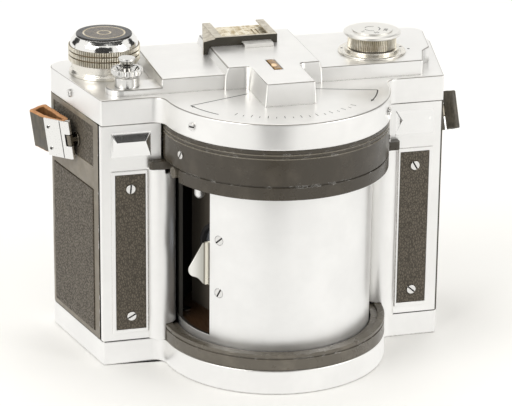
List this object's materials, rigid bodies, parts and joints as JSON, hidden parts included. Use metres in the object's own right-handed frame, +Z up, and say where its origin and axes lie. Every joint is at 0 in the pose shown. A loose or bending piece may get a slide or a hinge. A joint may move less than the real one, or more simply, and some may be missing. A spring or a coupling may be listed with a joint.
{
  "type": "swing-lens panoramic camera",
  "caption": "Roll-film panoramic camera with a lens drum that swings behind a half-round chrome front, winding knob, speed dial, release, accessory shoe, hinged back and strap loops.",
  "frame": {"origin": "mouth of the tripod socket on the underside of the base, on the axis of the lens drum", "axes": "+X to the viewer's right when looking at the lens drum, +Y to the rear, +Z up"},
  "size_m": [0.1797, 0.1042, 0.1275],
  "materials": {
    "satin_chrome": "satin",
    "bright_chrome": "polished",
    "black_lacquer": "gloss",
    "black_enamel": "satin",
    "leatherette": "grained",
    "strap_leather": "worn",
    "steel": "satin",
    "chassis": "matt",
    "brass": "satin",
    "inner_black": "matt",
    "brown_metal": "satin",
    "spool": "matt",
    "lens_glass": "clear",
    "vial_glass": "clear"
  },
  "bodies": {
    "camera_body": {"base_cover": "satin_chrome", "tripod_bush": "steel", "lower_plate": "chassis", "upper_plate": "chassis", "drum_bearings": "brass", "film_gate": "inner_black", "front_panel_left": "satin_chrome", "front_panel_right": "satin_chrome", "front_leather_left": "leatherette", "front_leather_right": "leatherette", "panel_screws": "bright_chrome", "side_wall_left": "black_enamel", "side_wall_right": "black_enamel", "side_leather_left": "leatherette", "side_leather_right": "leatherette", "top_cover": "satin_chrome", "case_screws": "bright_chrome", "level_vial": "vial_glass", "upper_ring": "black_lacquer", "lower_ring": "black_lacquer", "ring_screws": "bright_chrome", "ring_stops": "black_lacquer", "accessory_shoe": "black_lacquer", "shoe_plate": "brass", "wind_collar": "bright_chrome", "dial_flange": "bright_chrome", "release_collar": "bright_chrome", "strap_lug_left": "bright_chrome", "strap_lug_right": "bright_chrome", "hinge_pin": "steel", "release_spring": "steel"},
    "lens_drum": {"drum_shell": "satin_chrome", "drum_base": "brown_metal", "drum_top": "chassis", "lens_board": "inner_black", "lens_barrel": "inner_black", "lens_elements": "lens_glass", "light_tunnel": "inner_black", "finger_tab": "satin_chrome", "shell_screws": "bright_chrome", "drum_gear": "brass"},
    "mainspring": {"spring_barrel": "brass"},
    "governor": {"governor_wheel": "brass"},
    "winder": {"winding_knob": "bright_chrome", "knob_disc": "black_lacquer", "wind_shaft": "steel", "takeup_spool": "spool"},
    "supply": {"supply_spool": "spool"},
    "guide_roller_left": {"film_roller_left": "steel"},
    "guide_roller_right": {"film_roller_right": "steel"},
    "dial": {"speed_dial": "bright_chrome", "dial_cap": "satin_chrome"},
    "release": {"release_button": "bright_chrome"},
    "door": {"back_door": "black_enamel", "back_leather": "leatherette"},
    "latch": {"door_latch": "bright_chrome"},
    "loop_left": {"strap_buckle_left": "bright_chrome", "strap_left": "strap_leather"},
    "loop_right": {"strap_buckle_right": "bright_chrome", "strap_right": "strap_leather"}
  },
  "joints": [
    {"name": "drum_swing", "type": "hinge", "parent": "camera_body", "child": "lens_drum", "pos_m": [0, 0, 0.0484], "axis": [0, 0, 1], "range_deg": [-18, 142]},
    {"name": "mainspring_turn", "type": "hinge", "parent": "camera_body", "child": "mainspring", "pos_m": [0, 0.03, 0.0925], "axis": [0, 0, 1], "range_deg": [-214, 28]},
    {"name": "governor_spin", "type": "hinge", "parent": "camera_body", "child": "governor", "pos_m": [0.02199, 0.00961, 0.0915], "axis": [0, 0, 1], "range_deg": [-427, 55]},
    {"name": "wind_turn", "type": "hinge", "parent": "camera_body", "child": "winder", "pos_m": [-0.0605, 0.037, 0.1], "axis": [0, 0, 1], "continuous": true},
    {"name": "supply_turn", "type": "hinge", "parent": "camera_body", "child": "supply", "pos_m": [0.0605, 0.037, 0.0484], "axis": [0, 0, 1], "continuous": true},
    {"name": "roller_left_turn", "type": "hinge", "parent": "camera_body", "child": "guide_roller_left", "pos_m": [-0.056, 0.0085, 0.0484], "axis": [0, 0, 1], "continuous": true},
    {"name": "roller_right_turn", "type": "hinge", "parent": "camera_body", "child": "guide_roller_right", "pos_m": [0.056, 0.0085, 0.0484], "axis": [0, 0, 1], "continuous": true},
    {"name": "dial_turn", "type": "hinge", "parent": "camera_body", "child": "dial", "pos_m": [0.0458, 0.02, 0.12], "axis": [0, 0, 1], "range_deg": [-135, 135]},
    {"name": "release_press", "type": "slide", "parent": "camera_body", "child": "release", "axis": [0, 0, -1], "range_m": [0, 0.003], "stiffness_N_per_m": 400, "springref_m": -0.001, "deforming": ["release_spring"]},
    {"name": "door_swing", "type": "hinge", "parent": "camera_body", "child": "door", "pos_m": [0.07133, 0.0566, 0.0555], "axis": [0, 0, -1], "range_deg": [0, 110]},
    {"name": "latch_slide", "type": "slide", "parent": "door", "child": "latch", "axis": [0, 0, 1], "range_m": [0, 0.005]},
    {"name": "loop_left_swing", "type": "hinge", "parent": "camera_body", "child": "loop_left", "pos_m": [-0.07771, 0.0228, 0.0886], "axis": [-0.1361, -0.0289, 0.9903], "range_deg": [0, 60]},
    {"name": "loop_right_swing", "type": "hinge", "parent": "camera_body", "child": "loop_right", "pos_m": [0.07771, 0.0228, 0.0886], "axis": [-0.0409, 0.3584, 0.9327], "range_deg": [-60, 0]}
  ],
  "couplings": [
    {"joint": "mainspring_turn", "follows": "drum_swing", "ratio": -1.5},
    {"joint": "governor_spin", "follows": "drum_swing", "ratio": -3}
  ]
}
